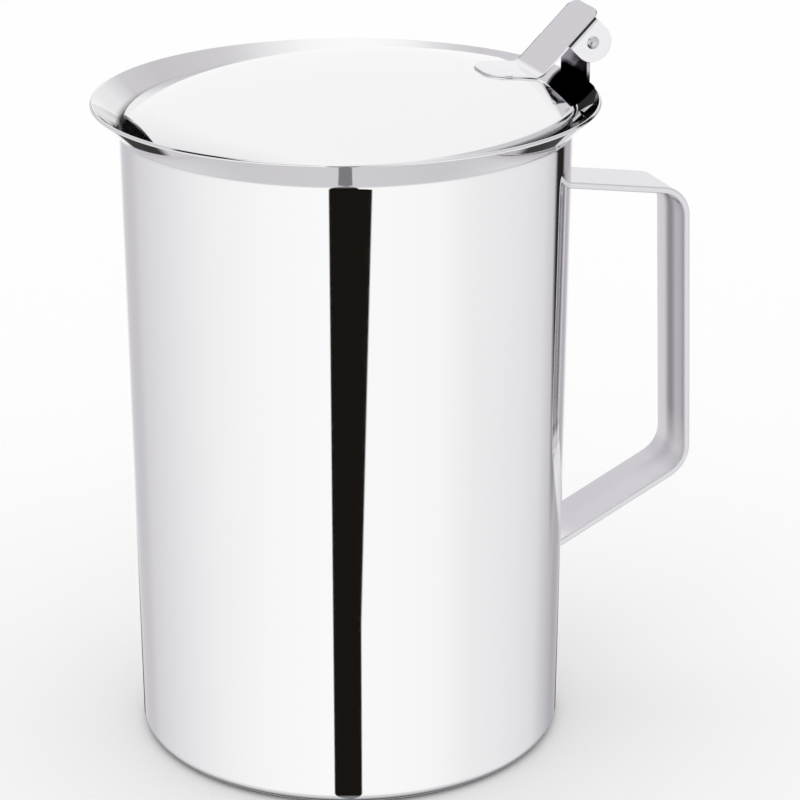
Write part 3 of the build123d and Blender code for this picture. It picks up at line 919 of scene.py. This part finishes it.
def build_tent(tree):
    """The tent's colour in the direction that a ray leaves in."""
    sky = add_node(tree, "ShaderNodeTexCoord")
    towards = add_node(tree, "ShaderNodeSeparateXYZ", {"Vector": sky.outputs["Generated"]})
    azimuth = add_node(tree, "ShaderNodeMath", {
        0: towards.outputs["Y"], 1: towards.outputs["X"]}, operation="ARCTAN2")
    azimuth = add_node(tree, "ShaderNodeMath", {0: azimuth.outputs[0]}, operation="DEGREES")
    elevation = add_node(tree, "ShaderNodeMath", {0: towards.outputs["Z"]}, operation="ARCSINE")
    elevation = add_node(tree, "ShaderNodeMath", {0: elevation.outputs[0]}, operation="DEGREES")
    azimuth, elevation = azimuth.outputs[0], elevation.outputs[0]
    place = add_node(tree, "ShaderNodeCombineXYZ", {"X": azimuth, "Y": elevation}).outputs[0]

    def by_elevation(start, end, below=0.0, above=1.0):
        change = add_node(tree, "ShaderNodeMapRange", {
            "Value": elevation, "From Min": start, "From Max": end,
            "To Min": below, "To Max": above}, interpolation_type="SMOOTHSTEP")
        return change.outputs["Result"]

    # Two rings of panels, the table below them and the white top above
    low_ring = panel_ring(tree, azimuth, [
        (-180, 243), (-150, 250), (-120, 253), (-90, 252), (-60, 249), (-40, 239), (-5, 231),
        (12, 223), (22, 206), (40, 176), (50, 186), (57, 238), (64, 252), (86, 252), (93, 215),
        (103, 203), (112, 203), (122, 215), (150, 229), (180, 243)])
    high_ring = panel_ring(tree, azimuth, [
        (-180, 232), (-160, 238), (-118, 238), (-98, 222), (-60, 223), (-20, 214), (0, 206),
        (20, 200), (36, 208), (46, 232), (53, 246), (84, 248), (92, 238), (99, 218), (110, 214),
        (130, 207), (150, 208), (170, 216), (180, 232)])
    tent = low_ring
    for amount, layer in ((by_elevation(-4, 18), high_ring),
                          (by_elevation(-62, -36, 0.85, 0.0), panel(204)),
                          (by_elevation(58, 84), WHITE)):
        tent = add_node(tree, "ShaderNodeMix", {"Factor": amount, 6: tent, 7: layer},
                        data_type="RGBA").outputs[2]

    # The gap in front that the picture is taken through, with an upright left edge and a
    # leaning right one. Towards the table it lets some light back in.
    left_edge = add_node(tree, "ShaderNodeMapRange", {
        "Value": azimuth, "From Min": -116.9, "From Max": -116.3, "To Min": 0.0, "To Max": 1.0},
        interpolation_type="SMOOTHSTEP")
    right_edge = add_node(tree, "ShaderNodeMapRange", {
        "Value": elevation, "From Min": -26.0, "From Max": 4.0,
        "To Min": -101.7, "To Max": -80.4})
    past = add_node(tree, "ShaderNodeMath", {0: azimuth, 1: right_edge.outputs["Result"]},
                    operation="SUBTRACT")
    before_right = add_node(tree, "ShaderNodeMapRange", {
        "Value": past.outputs[0], "From Min": -0.4, "From Max": 0.4,
        "To Min": 1.0, "To Max": 0.0}, interpolation_type="SMOOTHSTEP")
    gap = left_edge.outputs["Result"]
    for share in (before_right.outputs["Result"], by_elevation(-1, 7, 1.0, 0.0),
                  by_elevation(-60, -40, 0.68, 1.0)):
        gap = add_node(tree, "ShaderNodeMath", {0: gap, 1: share},
                       operation="MULTIPLY").outputs[0]
    light = add_node(tree, "ShaderNodeMath", {0: 1.0, 1: gap}, operation="SUBTRACT").outputs[0]

    # Dark strips: stands, seams and edges of the tent. From, to, half width, softness, light left
    for start, end, half, soft, left in (
            ((31, -16), (31, 20), 6, 5, 0.02),
            ((84, 2), (97, 15), 3, 3, 0.02),
            ((87, -27), (95, -38), 3, 5, 0.05),
            ((48, -40), (57, -27), 3, 5, 0.08),
            ((152, 49), (180, 52), 7, 4, 0.03),
            ((-180, 52), (-126, 37), 7, 5, 0.03)):
        past_strip = light_past_strip(tree, place, start, end, half, soft, left)
        light = add_node(tree, "ShaderNodeMath", {0: light, 1: past_strip},
                         operation="MULTIPLY").outputs[0]
    return add_node(tree, "ShaderNodeMix", {"Factor": light, 6: linear("181512"), 7: tent},
                    data_type="RGBA").outputs[2]


# Reflections see the tent, and all else sees a plain white world.
world = bpy.data.worlds.new("white_tent")
bpy.context.scene.world = world
world.use_nodes = True
tree = world.node_tree
ray = add_node(tree, "ShaderNodeLightPath")
seen = add_node(tree, "ShaderNodeMix", {
    "Factor": ray.outputs["Is Glossy Ray"], 6: WHITE, 7: build_tent(tree)}, data_type="RGBA")
background = tree.nodes["Background"]
tree.links.new(seen.outputs[2], background.inputs["Color"])
background.inputs["Strength"].default_value = 1.0

# A floor of white paper. The steel doesn't mirror it, because the tent already holds the table.
floor_half = 4000
floor = mesh_piece("studio_floor", [
    (-floor_half, -floor_half, 0), (floor_half, -floor_half, 0),
    (floor_half, floor_half, 0), (-floor_half, floor_half, 0)], [(0, 1, 2, 3)])
paper = bpy.data.materials.new("white_paper_floor")
paper.use_nodes = True
paper_shader = paper.node_tree.nodes["Principled BSDF"]
paper_shader.inputs["Base Color"].default_value = linear("ffffff")
paper_shader.inputs["Roughness"].default_value = 0.9
floor.data.materials.append(paper)
floor.visible_glossy = False

# The photograph's camera, as fitted to it, in metres
camera_place = (-0.21708, -0.67437, 0.3586)
camera_towards = Vector((0.30495, 0.88564, -0.35021))
camera = bpy.data.cameras.new("photo_camera")
camera.lens = 123.48
camera.sensor_width = 36
camera.clip_end = 20
view = bpy.data.objects.new("photo_camera", camera)
view.location = camera_place
view.rotation_euler = camera_towards.to_track_quat("-Z", "Y").to_euler()
bpy.context.scene.collection.objects.link(view)
bpy.context.scene.camera = view
bpy.context.scene.view_settings.view_transform = "Standard"
